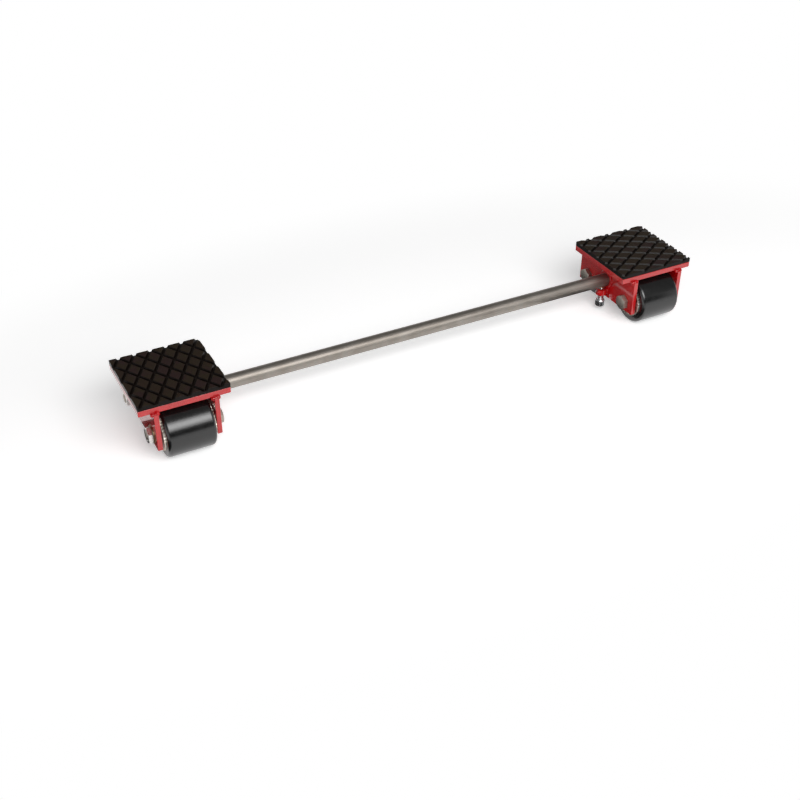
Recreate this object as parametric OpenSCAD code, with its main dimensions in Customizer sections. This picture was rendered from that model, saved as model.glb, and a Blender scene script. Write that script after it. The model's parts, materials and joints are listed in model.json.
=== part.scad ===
// Machine moving dolly: two roller carriages clamped on one round guide bar.
// The bar runs along X, the floor is Z = 0, and the origin is below the middle of the bar.
// A carriage is drawn about its own middle with its inner side, the clamp side, towards -X.

/* [Guide bar] */
// Distance between the middles of the two carriages
track = 900; // [300:10:980]
// Length of the bar
bar_length = 1000; // [900:10:1300]
// Diameter of the bar
bar_d = 24; // [20:0.5:28]
// Bevel at each end of the bar
bar_bevel = 1.5; // [0.5:0.1:4]
// Height of the bar's middle above the axle line
bar_rise = 18.5; // [16:0.5:23]
// Running clearance around the bar, on the radius
slide_fit = 0.08; // [0.02:0.01:0.1]

/* [Carriage plates] */
// Length of the top plate along the bar
plate_x = 150; // [145:1:200]
// Width of the top plate across the bar
plate_y = 150; // [140:1:200]
// Thickness of the top plate
plate_t = 10; // [6:0.5:15]
// Thickness of each side plate
side_t = 8; // [5:0.5:12]
// Step by which the side plates stand out past the top plate, front and rear
side_step = 7; // [6:0.5:12]
// Distance from the axle line down to the side plates' lower edge
side_below_axle = 16.5; // [14:0.5:24]

/* [Rubber pad] */
// Thickness of the pad
pad_t = 8; // [6:0.5:12]
// Width of the pad's grooves at the top
groove_w = 6; // [4:0.1:8]
// Width of the grooves' floor
groove_floor_w = 2.2; // [1:0.1:3.5]
// Depth of the pad's grooves
groove_depth = 3.5; // [1:0.1:5]
// Distance between neighbouring groove crossings, the short way
groove_short = 26.4; // [20:0.2:34]
// Distance between neighbouring groove crossings, the long way
groove_long = 43.5; // [34:0.5:56]
// Shift of the left pad's groove pattern, the short way
left_shift_short = 6.7; // [0:0.1:26]
// Shift of the left pad's groove pattern, the long way
left_shift_long = 8.7; // [0:0.1:43]
// Shift of the right pad's groove pattern, the short way
right_shift_short = 17.2; // [0:0.1:26]
// Shift of the right pad's groove pattern, the long way
right_shift_long = 5.3; // [0:0.1:43]

/* [Rollers] */
// Diameter of the roller over its tread
roller_d = 85; // [76:1:100]
// Length of the roller
roller_length = 80; // [65:1:100]
// Rounding of the tread's end edges
tread_round = 6; // [1:0.5:8]
// Diameter of the steel core inside the tread
core_d = 60; // [56:1:66]
// Free height between a roller and the top plate
roller_headroom = 7; // [4:0.5:14]
// Gap between a roller and the guide sleeve
sleeve_gap = 1.5; // [1:0.1:4]
// Outer diameter of the ball bearings
bearing_d = 47; // [42:1:50]
// Bore of the ball bearings
bearing_bore = 20; // [19:0.5:24]
// Width of a ball bearing
bearing_w = 14; // [10:0.5:18]
// Height of the shoulder in the core that a bearing sits against
bearing_shoulder = 3.5; // [2:0.5:6]
// Depth of the recess over a bearing's seal
seal_depth = 0.8; // [0.3:0.1:1.5]
// Thickness of a bearing's rings
race_t = 4; // [2.5:0.5:5]
// Fit of pieces pressed into each other, on the radius
seat_fit = 0.02; // [0.01:0.01:0.05]
// Running clearance between a bearing and its axle tube, on the radius
bearing_fit = 0.05; // [0.02:0.01:0.1]

/* [Roller end covers] */
// Thickness of a toothed end cover
cover_t = 3; // [1.5:0.1:4]
// Height by which the cover stands out past the core, on the radius
cover_lip = 0.2; // [0:0.1:2]
// Number of teeth round the cover
cover_teeth = 36; // [20:1:60]
// Depth of the cover's teeth
tooth_depth = 1.6; // [0.5:0.1:2.5]
// Gap between a cover and the side plate
cover_gap = 2; // [1:0.1:3]
// Gap between a cover and the axle tube, on the radius
cover_eye = 1; // [0.5:0.1:2]

/* [Axles] */
// Thread diameter of the axle bolts
axle_d = 16; // [12:0.5:17]
// Width across flats of the axle bolts' heads and nuts
axle_af = 24; // [22:0.5:28]
// Height of an axle bolt's head
axle_head_h = 8.5; // [6:0.5:12]
// Height of an axle nut
axle_nut_h = 8; // [6:0.5:13]
// Diameter of the washer under an axle nut
washer_d = 30; // [27:0.5:36]
// Thickness of the washer
washer_t = 1.5; // [1:0.1:4]
// Length of thread that stands out of an axle nut
thread_out = 1; // [0.8:0.1:4]
// Bevel at the thread's end
thread_bevel = 0.6; // [0.3:0.1:0.8]
// Clearance of a bolt in its holes, on the radius
bolt_fit = 0.2; // [0.1:0.05:0.5]

/* [Guide sleeve] */
// Wall of the sleeve that the bar slides in
sleeve_wall = 3.9; // [3:0.1:6]
// Length by which the sleeve stands out of each side plate
sleeve_out = 2; // [1:0.1:3]
// Clearance of the sleeve in the side plates, on the radius
sleeve_fit = 0.1; // [0.05:0.05:0.3]

/* [Clamp] */
// Thread diameter of the clamp screw
clamp_d = 12; // [10:0.5:14]
// Width across flats of the welded clamp nut
clamp_nut_af = 19; // [18:0.5:24]
// Height of the clamp nut
clamp_nut_h = 12; // [8:0.5:14]
// Gap between the clamp nut and the guide sleeve above it
clamp_nut_gap = 0.3; // [0.2:0.1:1]
// Running clearance of the screw in its nut, on the radius
thread_fit = 0.05; // [0.02:0.01:0.1]
// Diameter of the clamp screw's head
clamp_head_d = 18; // [16:0.5:21]
// Height of the clamp screw's head
clamp_head_h = 12; // [10:0.5:14]
// Bevel round the clamp screw's head
clamp_head_bevel = 1; // [0.5:0.1:2]
// Free length of screw between its head and the clamp nut
clamp_free = 12; // [6:0.5:13]
// Width across flats of the key socket in the screw's head
key_af = 10; // [6:0.5:11]
// Depth of the key socket
key_depth = 6; // [3:0.5:8]
// Diameter of the brass thrust pad on the screw's end
thrust_d = 9; // [8:0.5:10]
// Thickness of the thrust pad
thrust_t = 2; // [1:0.5:3]
// Diameter of the stem that holds the thrust pad
stem_d = 5; // [3:0.5:6]
// Length of that stem
stem_length = 4; // [2:0.5:6]
// Clearance of the thrust pad and its stem
thrust_fit = 0.05; // [0.02:0.01:0.1]
// Gap between the thrust pad and the bar
thrust_gap = 0.1; // [0.05:0.05:0.3]

/* [Welds] */
// Radius of the weld bead drops
bead_r = 4.3; // [3:0.1:5]
// Distance between the drops of a corner bead
bead_pitch = 3; // [2:0.1:4]
// Leg of the seam under the top plate
seam_leg = 4; // [2:0.5:6]
// Leg of the weld round the guide sleeve
ring_leg = 2.5; // [1:0.1:3]
// Radius of the drops beside the clamp nut
nut_bead_r = 2.8; // [2:0.1:3.5]
// Gap between a weld and a piece that it doesn't join
weld_gap = 0.2; // [0.1:0.1:0.5]

/* [Hidden] */
SIDES = ["left", "right"];
ROWS = ["front", "rear"];
CARRIAGE_NODES = ["rubber_pad", "top_plate", "inner_side_plate", "outer_side_plate", "guide_sleeve",
    "weld_beads", "clamp_nut", "clamp_screw", "clamp_thrust_pad"];
AXLE_NODES = ["axle_bolt", "axle_washer", "axle_nut", "axle_tube", "roller_tread", "roller_core",
    "roller_bearings", "roller_end_covers"];

$fn = 64;
// Overlap that lets a cutting shape run clean through a face
cut = 1;

// Heights above the floor
axle_z = roller_d / 2;
bar_z = axle_z + bar_rise;
plate_z = roller_d + roller_headroom;
side_z = axle_z - side_below_axle;

// Distances from the carriage's middle along the bar
side_in = roller_length / 2 + cover_t + cover_gap;
side_out = side_in + side_t;
sleeve_end = side_out + sleeve_out;

// The guide sleeve, and the axles that the rollers' gap to it sets
sleeve_bore = bar_d + 2 * slide_fit;
sleeve_d = sleeve_bore + 2 * sleeve_wall;
axle_y = sqrt(pow((roller_d + sleeve_d) / 2 + sleeve_gap, 2) - pow(bar_rise, 2));
side_length = plate_y + 2 * side_step;
tube_d = bearing_bore - 2 * bearing_fit;
tube_bore = axle_d + 2 * bolt_fit;
cover_d = core_d + 2 * cover_lip;

// The clamp nut lies with one flat on the inner side plate
clamp_x = -side_out - clamp_nut_af / 2;
clamp_nut_top = bar_z - sleeve_d / 2 - clamp_nut_gap;
clamp_nut_z = clamp_nut_top - clamp_nut_h;
clamp_head_top = clamp_nut_z - clamp_free;
thrust_z = bar_z - bar_d / 2 - thrust_gap - thrust_t;
shank_top = thrust_z - thrust_fit;

// The middle of a carriage on the X axis
function carriage_x(side) = (side == "left" ? -1 : 1) * track / 2;

// Places a carriage piece: the left carriage is the right one turned half round
module on_carriage(side) {
    translate([carriage_x(side), 0, 0])
        rotate([0, 0, side == "left" ? 180 : 0])
            children();
}

// Places a piece on the middle of the front or the rear axle
module on_axle(side, row) {
    translate([carriage_x(side), row == "front" ? -axle_y : axle_y, axle_z])
        rotate([0, 0, side == "left" ? 180 : 0])
            children();
}

// Turns a shape drawn along Z so that it lies along X
module along_x() {
    rotate([0, 90, 0])
        children();
}

// A hexagon prism with its outer face bevelled, as on bolt heads and nuts
module hexagon(across_flats, height, bevel_both = false) {
    across_corners = across_flats / cos(30);
    bevel = (across_corners - across_flats) / 2 * tan(30);
    intersection() {
        cylinder(d = across_corners, h = height, $fn = 6);
        rotate_extrude()
            polygon([
                [0, 0],
                [across_flats / 2 + (bevel_both ? 0 : cut), 0],
                [across_corners / 2 + (bevel_both ? 0 : cut), bevel_both ? bevel : 0],
                [across_corners / 2 + (bevel_both ? 0 : cut), height - bevel],
                [across_flats / 2, height],
                [0, height]
            ]);
    }
}

// A round bar along Z with a bevel at its upper end, and one at its lower end if asked
module bevelled_bar(diameter, length, bevel, both = false) {
    rotate_extrude()
        polygon([
            [0, 0],
            [diameter / 2 - (both ? bevel : 0), 0],
            [diameter / 2, both ? bevel : 0],
            [diameter / 2, length - bevel],
            [diameter / 2 - bevel, length],
            [0, length]
        ]);
}

// A tube along Z
module tube(outer_d, inner_d, length) {
    difference() {
        cylinder(d = outer_d, h = length);
        translate([0, 0, -cut])
            cylinder(d = inner_d, h = length + 2 * cut);
    }
}

// Runs its child at both ends of the roller, mirrored
module both_ends() {
    for (flip = [0, 1])
        mirror([flip, 0, 0])
            children();
}

module guide_bar() {
    color([0.55, 0.52, 0.50])
        translate([-bar_length / 2, 0, bar_z])
            along_x()
                bevelled_bar(bar_d, bar_length, bar_bevel, both = true);
}

// One family of parallel grooves through the crossings of the pad's pattern, with sloping walls
module groove_family(lean) {
    angle = atan2(groove_long, groove_short);
    reach = plate_x + plate_y;
    count = ceil(reach / groove_short);
    slope = (groove_w - groove_floor_w) / 2 / groove_depth;
    half_top = groove_w / 2 + slope * cut;
    for (i = [-count:count])
        translate([i * groove_short, 0, 0])
            rotate([90, 0, 90 + lean * angle])
                linear_extrude(2 * reach, center = true)
                    polygon([
                        [-groove_floor_w / 2, -groove_depth],
                        [groove_floor_w / 2, -groove_depth],
                        [half_top, cut],
                        [-half_top, cut]
                    ]);
}

// The pad covers the whole top plate, and its pattern is turned on the right carriage
module rubber_pad(side) {
    left = side == "left";
    color([0.16, 0.15, 0.14])
        translate([carriage_x(side), 0, plate_z + plate_t])
            difference() {
                translate([-plate_x / 2, -plate_y / 2, 0])
                    cube([plate_x, plate_y, pad_t]);
                translate([0, 0, pad_t])
                    rotate([0, 0, left ? 0 : 90])
                        translate([
                            left ? left_shift_short : right_shift_short,
                            left ? left_shift_long : right_shift_long,
                            0
                        ])
                            for (lean = [-1, 1])
                                groove_family(lean);
            }
}

module top_plate() {
    color([0.75, 0.06, 0.08])
        translate([-plate_x / 2, -plate_y / 2, plate_z])
            cube([plate_x, plate_y, plate_t]);
}

// The side plate on the clamp side, with holes for the guide sleeve and both axle bolts
module inner_side_plate() {
    color([0.70, 0.05, 0.07])
        difference() {
            translate([-side_out, -side_length / 2, side_z])
                cube([side_t, side_length, plate_z - side_z]);
            translate([-side_out - cut, 0, bar_z])
                along_x()
                    cylinder(d = sleeve_d + 2 * sleeve_fit, h = side_t + 2 * cut);
            for (y = [-axle_y, axle_y])
                translate([-side_out - cut, y, axle_z])
                    along_x()
                        cylinder(d = axle_d + 2 * bolt_fit, h = side_t + 2 * cut);
        }
}

module outer_side_plate() {
    mirror([1, 0, 0])
        inner_side_plate();
}

module guide_sleeve() {
    color([0.60, 0.05, 0.06])
        translate([-sleeve_end, 0, bar_z])
            along_x()
                tube(sleeve_d, sleeve_bore, 2 * sleeve_end);
}

// The seam under the overhang of the top plate, with a bead round each corner
module plate_weld() {
    difference() {
        union() {
            translate([-side_out, -plate_y / 2, plate_z])
                rotate([-90, 0, 0])
                    linear_extrude(plate_y)
                        polygon([[0, 0], [-seam_leg, 0], [0, seam_leg]]);
            for (end = [-1, 1], drop = [-1, 0, 1])
                translate([-(side_in + side_out) / 2 + drop * bead_pitch, end * plate_y / 2, plate_z])
                    sphere(r = bead_r);
        }
        translate([-plate_x / 2 - cut, -plate_y / 2, plate_z])
            cube([plate_x + 2 * cut, plate_y, plate_t + cut]);
        translate([-side_out, -side_length / 2 - cut, side_z])
            cube([side_t, side_length + 2 * cut, plate_z - side_z]);
        // Room for the rollers inside the side plate
        translate([-side_in + cover_gap, -side_length, side_z])
            cube([side_in, 2 * side_length, plate_z + plate_t]);
    }
}

// The weld round the end of the guide sleeve
module sleeve_weld() {
    translate([-sleeve_end, 0, bar_z])
        along_x()
            rotate_extrude()
                polygon([
                    [sleeve_d / 2, 0],
                    [sleeve_d / 2 + ring_leg, sleeve_out],
                    [sleeve_d / 2, sleeve_out]
                ]);
}

// The two short welds that hold the clamp nut on the side plate
module nut_weld() {
    half_flat = clamp_nut_af / 2 * tan(30);
    difference() {
        for (end = [-1, 1], z = [clamp_nut_z + nut_bead_r : nut_bead_r : clamp_nut_top - nut_bead_r])
            translate([-side_out, end * (half_flat + nut_bead_r / 2), z])
                sphere(r = nut_bead_r);
        translate([-side_out, -side_length / 2, side_z])
            cube([side_t, side_length, plate_z - side_z]);
        clamp_nut_space(0);
    }
}

// The outline of the clamp nut, grown by a gap
module clamp_nut_space(gap) {
    translate([clamp_x, 0, clamp_nut_z - gap])
        rotate([0, 0, 30])
            cylinder(d = (clamp_nut_af + 2 * gap) / cos(30), h = clamp_nut_h + 2 * gap, $fn = 6);
}

module weld_beads() {
    color([0.80, 0.02, 0.10]) {
        both_ends()
            plate_weld();
        difference() {
            both_ends()
                sleeve_weld();
            clamp_nut_space(weld_gap);
        }
        nut_weld();
    }
}

module clamp_nut() {
    color([0.75, 0.10, 0.12])
        difference() {
            translate([clamp_x, 0, clamp_nut_z])
                rotate([0, 0, 30])
                    hexagon(clamp_nut_af, clamp_nut_h, bevel_both = true);
            translate([clamp_x, 0, clamp_nut_z - cut])
                cylinder(d = clamp_d + 2 * thread_fit, h = clamp_nut_h + 2 * cut);
        }
}

// Socket head screw that points up at the bar
module clamp_screw() {
    color([0.80, 0.82, 0.84])
        translate([clamp_x, 0, clamp_head_top - clamp_head_h])
            difference() {
                union() {
                    bevelled_bar(clamp_head_d, clamp_head_h, clamp_head_bevel, both = true);
                    cylinder(d = clamp_d, h = shank_top - clamp_head_top + clamp_head_h);
                }
                translate([0, 0, -cut])
                    cylinder(d = key_af / cos(30), h = key_depth + cut, $fn = 6);
                translate([0, 0, shank_top - clamp_head_top + clamp_head_h - stem_length - thrust_fit])
                    cylinder(d = stem_d + 2 * thrust_fit, h = stem_length + thrust_fit + cut);
            }
}

module clamp_thrust_pad() {
    color([0.78, 0.62, 0.32])
        translate([clamp_x, 0, thrust_z]) {
            cylinder(d = thrust_d, h = thrust_t);
            translate([0, 0, -stem_length])
                cylinder(d = stem_d, h = stem_length);
        }
}

module axle_bolt() {
    color([0.52, 0.50, 0.47]) {
        translate([-side_out, 0, 0])
            rotate([0, -90, 0])
                hexagon(axle_af, axle_head_h);
        translate([-side_out, 0, 0])
            along_x()
                bevelled_bar(axle_d, 2 * side_out + washer_t + axle_nut_h + thread_out, thread_bevel);
    }
}

module axle_washer() {
    color([0.45, 0.42, 0.38])
        translate([side_out, 0, 0])
            along_x()
                tube(washer_d, axle_d + 2 * bolt_fit, washer_t);
}

module axle_nut() {
    color([0.75, 0.75, 0.74])
        translate([side_out + washer_t, 0, 0])
            along_x()
                difference() {
                    hexagon(axle_af, axle_nut_h);
                    translate([0, 0, -cut])
                        cylinder(d = axle_d + 2 * thread_fit, h = axle_nut_h + 2 * cut);
                }
}

// The tube on the axle bolt that keeps the side plates apart and carries the bearings
module axle_tube() {
    color([0.60, 0.60, 0.60])
        translate([-side_in, 0, 0])
            along_x()
                tube(tube_d, tube_bore, 2 * side_in);
}

module roller_tread() {
    width = roller_length - 2 * tread_round;
    color([0.10, 0.10, 0.11])
        along_x()
            difference() {
                rotate_extrude() {
                    translate([0, -roller_length / 2])
                        square([roller_d / 2 - tread_round, roller_length]);
                    translate([0, -width / 2])
                        square([roller_d / 2, width]);
                    for (end = [-1, 1])
                        translate([roller_d / 2 - tread_round, end * width / 2])
                            circle(r = tread_round);
                }
                cylinder(d = core_d + 2 * seat_fit, h = roller_length + 2 * cut, center = true);
            }
}

// The steel core, with a seat for a bearing at each end
module roller_core() {
    color([0.45, 0.45, 0.46])
        along_x()
            difference() {
                cylinder(d = core_d, h = roller_length, center = true);
                cylinder(d = bearing_d - 2 * bearing_shoulder, h = roller_length + 2 * cut, center = true);
                for (end = [0, 1])
                    mirror([0, 0, end])
                        translate([0, 0, roller_length / 2 - bearing_w])
                            cylinder(d = bearing_d + 2 * seat_fit, h = bearing_w + cut);
            }
}

module roller_bearings() {
    color([0.70, 0.70, 0.72])
        both_ends()
            translate([roller_length / 2 - bearing_w, 0, 0])
                along_x()
                    difference() {
                        tube(bearing_d, bearing_bore, bearing_w);
                        translate([0, 0, bearing_w - seal_depth])
                            tube(bearing_d - 2 * race_t, bearing_bore + 2 * race_t, seal_depth + cut);
                    }
}

// A thin toothed disc over each bearing
module roller_end_covers() {
    step = 360 / cover_teeth;
    outline = [for (i = [0 : 2 * cover_teeth - 1])
        let (r = cover_d / 2 - (i % 2) * tooth_depth)
        [r * cos(i * step / 2), r * sin(i * step / 2)]];
    color([0.86, 0.84, 0.82])
        both_ends()
            translate([roller_length / 2, 0, 0])
                along_x()
                    difference() {
                        linear_extrude(cover_t)
                            polygon(outline);
                        translate([0, 0, -cut])
                            cylinder(d = tube_d + 2 * cover_eye, h = cover_t + 2 * cut);
                    }
}

guide_bar();
for (side = SIDES) {
    rubber_pad(side);
    on_carriage(side) top_plate();
    on_carriage(side) inner_side_plate();
    on_carriage(side) outer_side_plate();
    on_carriage(side) guide_sleeve();
    on_carriage(side) weld_beads();
    on_carriage(side) clamp_nut();
    on_carriage(side) clamp_screw();
    on_carriage(side) clamp_thrust_pad();
}
for (side = SIDES, row = ROWS) {
    at = str(side, "_", row, "_");
    on_axle(side, row) axle_bolt();
    on_axle(side, row) axle_washer();
    on_axle(side, row) axle_nut();
    on_axle(side, row) axle_tube();
    on_axle(side, row) roller_tread();
    on_axle(side, row) roller_core();
    on_axle(side, row) roller_bearings();
    on_axle(side, row) roller_end_covers();
}
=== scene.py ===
# %% [markdown]
# # A machine moving dolly
# Two low carriages stand on the floor, set apart on one round steel bar. Each is a box of thick steel
# plates, welded and sprayed with red enamel, with two black rollers inside and a grooved rubber pad on
# top for the load.
#
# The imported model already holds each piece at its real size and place, but with hard edges and plain
# colours. This script dresses it. It keeps every place, and gives each piece the finish and the small
# forms that make it look real: rounded edges, threads, weld drops, knurling and the grain of each
# surface.

# %% Load the frame
import json
import math

import bmesh
import bpy
from mathutils import Matrix, Vector


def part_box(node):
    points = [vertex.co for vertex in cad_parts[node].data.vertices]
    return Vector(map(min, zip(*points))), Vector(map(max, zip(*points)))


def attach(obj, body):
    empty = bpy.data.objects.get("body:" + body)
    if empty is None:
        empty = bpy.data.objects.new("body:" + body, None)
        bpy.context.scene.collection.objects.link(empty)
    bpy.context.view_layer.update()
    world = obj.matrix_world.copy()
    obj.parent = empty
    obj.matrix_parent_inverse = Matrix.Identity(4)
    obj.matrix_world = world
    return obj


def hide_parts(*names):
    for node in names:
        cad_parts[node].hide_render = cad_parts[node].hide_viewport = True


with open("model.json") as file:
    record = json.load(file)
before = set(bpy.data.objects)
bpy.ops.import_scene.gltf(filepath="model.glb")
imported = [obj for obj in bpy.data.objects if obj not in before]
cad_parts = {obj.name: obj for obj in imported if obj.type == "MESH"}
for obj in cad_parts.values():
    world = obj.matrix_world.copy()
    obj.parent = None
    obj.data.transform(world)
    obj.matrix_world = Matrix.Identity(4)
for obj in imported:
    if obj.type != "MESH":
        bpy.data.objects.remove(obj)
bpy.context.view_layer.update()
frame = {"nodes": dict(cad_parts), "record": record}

scene = bpy.context.scene
scene.view_settings.view_transform = "Standard"

# %% [markdown]
# ## What the record says
# Blender works in metres, while a workshop thinks in millimetres, so sizes here are written as a number
# times MM. The record tells which body each node moves with, and which finish it has. Two small tables
# save asking again.

# %% Bodies, finishes and sizes of the nodes
MM = 0.001
SIDES = ("left", "right")
ROWS = ("front", "rear")
bodies = frame["record"]["behaviour"]["bodies"]
body_of = {node: body for body, nodes in bodies.items() for node in nodes}
slot_of = {part["node"]: part["material_slot"] for part in frame["record"]["subparts"]}


def middle_and_size(node):
    """The middle of a node and its extent along X, Y and Z, in metres."""
    low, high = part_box(node)
    return (low + high) / 2, high - low


bar_middle, bar_size = middle_and_size("guide_bar")
print("bar length in mm:", round(bar_size.x / MM), "diameter:", round(bar_size.z / MM, 1))

# %% [markdown]
# ## The camera
# The photograph was taken from the front left, well above the dolly. A camera has a place, a direction
# and a lens. The three angles here turn it as a tripod head does: first it looks level along +Y, then it
# pans, tilts down and rolls. The lens is given for a sensor 36 mm wide, and the picture is square.

# %% Place the camera
CAMERA_PLACE = (-0.856915, -1.562316, 1.151131)
PAN = math.radians(-27.67)
TILT = math.radians(90 - 34.826)
ROLL = math.radians(0.263)
LENS = 53.815
SENSOR = 36


def put_in_scene(name, data):
    """A new object that shows its data, linked to the scene."""
    made = bpy.data.objects.new(name, data)
    scene.collection.objects.link(made)
    return made


camera = put_in_scene("camera", bpy.data.cameras.new("camera"))
scene.camera = camera
camera.data.sensor_width = SENSOR
camera.data.lens = LENS
camera.matrix_world = (
    Matrix.Translation(CAMERA_PLACE)
    @ Matrix.Rotation(PAN, 4, "Z")
    @ Matrix.Rotation(TILT, 4, "X")
    @ Matrix.Rotation(ROLL, 4, "Z")
)
print("camera looks along", [round(v, 3) for v in -camera.matrix_world.col[2].xyz])

# %% [markdown]
# ## One helper for every node
# Materials and Geometry Nodes are both graphs of nodes. One function fills inputs, and one adds a node of
# any kind with its settings and its inputs. An input is named by its label, its identifier or its number.
# It takes a plain value, a colour code, another node's output, or just that node, which then gives its
# first output.
#
# A colour picked from a picture is an sRGB code, but shaders calculate with linear light, so one function
# converts the codes.

# %% Convert a colour, fill inputs and add a node
def hex_colour(code):
    """An sRGB hex code as the linear colour that shaders use."""
    parts = [int(code[place:place + 2], 16) / 255 for place in (1, 3, 5)]
    return (*[p / 12.92 if p <= 0.04045 else ((p + 0.055) / 1.055) ** 2.4 for p in parts], 1.0)


def fill(tree, node, inputs):
    """Sets a node's inputs to values and colours, or links them to outputs and nodes."""
    for key, value in inputs.items():
        if isinstance(key, int):
            socket = node.inputs[key]
        else:
            socket = next(s for s in node.inputs if s.enabled and key in (s.identifier, s.name))
        for item in value if isinstance(value, list) else [value]:
            if isinstance(item, bpy.types.Node):
                item = next(output for output in item.outputs if output.enabled)
            if isinstance(item, bpy.types.NodeSocket):
                tree.links.new(item, socket)
            else:
                socket.default_value = hex_colour(item) if isinstance(item, str) else item


def add_node(tree, kind, inputs=None, stops=(), **settings):
    """Adds one node to a tree, with its settings, its inputs and the stops of its colour ramp."""
    node = tree.nodes.new(kind)
    for name, value in settings.items():
        setattr(node, name, value)
    for number, (position, code) in enumerate(stops):
        ramp = node.color_ramp.elements
        stop = ramp[number] if number < 2 else ramp.new(position)
        stop.position = position
        stop.color = hex_colour(code)
    fill(tree, node, inputs or {})
    return node


print("the grey #808080 in linear light:", round(hex_colour("#808080")[0], 3))

# %% [markdown]
# ## Materials
# Each material starts from the Principled shader and from Object coordinates turned to millimetres. A
# noise with a scale of 1 / 5 then has grains of about 5 mm, and each pattern can be set to its real size.

# %% Start a material
def clear_tree(owner):
    """The emptied node tree of a material or a world."""
    owner.use_nodes = True
    owner.node_tree.nodes.clear()
    return owner.node_tree


def start_material(name):
    """A new material, its tree, its Principled shader and its Object coordinates in millimetres."""
    material = bpy.data.materials.new(name)
    tree = clear_tree(material)
    shader = add_node(tree, "ShaderNodeBsdfPrincipled")
    add_node(tree, "ShaderNodeOutputMaterial", {"Surface": shader})
    place = add_node(tree, "ShaderNodeTexCoord").outputs["Object"]
    scaled = add_node(tree, "ShaderNodeVectorMath", {"Vector": place, "Scale": 1 / MM}, operation="SCALE")
    print("material:", name)
    return material, tree, shader, scaled


finishes = {}

# %% [markdown]
# ### Red gloss enamel
# The plates are sprayed with a gloss alkyd enamel. It is a strong clean red under a clear, slightly wavy
# skin: the "orange peel" of sprayed paint, with waves 2 to 4 mm long and a few microns high. A coat layer
# gives the sharp reflection, and the layer below it a softer one. Faint clouds in the colour come from
# uneven thickness.

# %% Red enamel
CLOUD_SIZE = 18
SPECK_SIZE = 0.9
WAVE_SIZE = 2.6


def red_enamel(name, base, cloud, wave_height, sheen):
    """Gloss enamel in two close reds, with the height of its waves in metres and a soft sheen's strength."""
    material, tree, shader, place = start_material(name)
    clouds = add_node(tree, "ShaderNodeTexNoise", {"Vector": place, "Scale": 1 / CLOUD_SIZE, "Detail": 3.0})
    colour = add_node(tree, "ShaderNodeValToRGB", {"Fac": clouds}, stops=[(0.35, cloud), (0.65, base)])
    specks = add_node(tree, "ShaderNodeTexNoise", {"Vector": place, "Scale": 1 / SPECK_SIZE, "Detail": 2.0})
    dull = add_node(
        tree, "ShaderNodeMapRange",
        {"Value": specks, "From Min": 0.45, "From Max": 0.75, "To Min": 0.22, "To Max": 0.36},
    )
    waves = add_node(tree, "ShaderNodeTexNoise", {"Vector": place, "Scale": 1 / WAVE_SIZE, "Detail": 1.5})
    bump = add_node(tree, "ShaderNodeBump", {"Height": waves, "Distance": wave_height, "Strength": 1.0})
    fill(tree, shader, {
        "Base Color": colour, "Roughness": dull, "IOR": 1.5, "Specular IOR Level": sheen,
        "Coat Normal": bump, "Coat Weight": 1.0, "Coat Roughness": 0.06, "Coat IOR": 1.5,
    })
    return material


finishes["red_paint"] = red_enamel("red gloss enamel", "#B60C11", "#A9090D", 0.012 * MM, 0.4)
finishes["painted_weld"] = red_enamel("red enamel over weld", "#BE000D", "#A00008", 0.08 * MM, 0.1)

# %% [markdown]
# ### Pad rubber
# The pads are moulded black rubber. Use has left dust and a trace of rust on the tops of the blocks, so
# they are a brownish black in patches 25 mm wide. Below the tops the colour holds painted shade: it
# darkens down into the grooves, and turns nearly black on the steep walls, which are satin and mirror the
# lamp where they face it. The material tells top, wall and groove apart by the surface's slope and its
# height.

# %% Pad rubber
PAD_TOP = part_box("left_rubber_pad")[1].z / MM
GROOVE_DEPTH = 3.5
GROOVE_FLOOR = PAD_TOP - GROOVE_DEPTH
PATCH_SIZE = 25
DUST_SIZE = 1.6
RUBBER_GRAIN = 0.4


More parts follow.
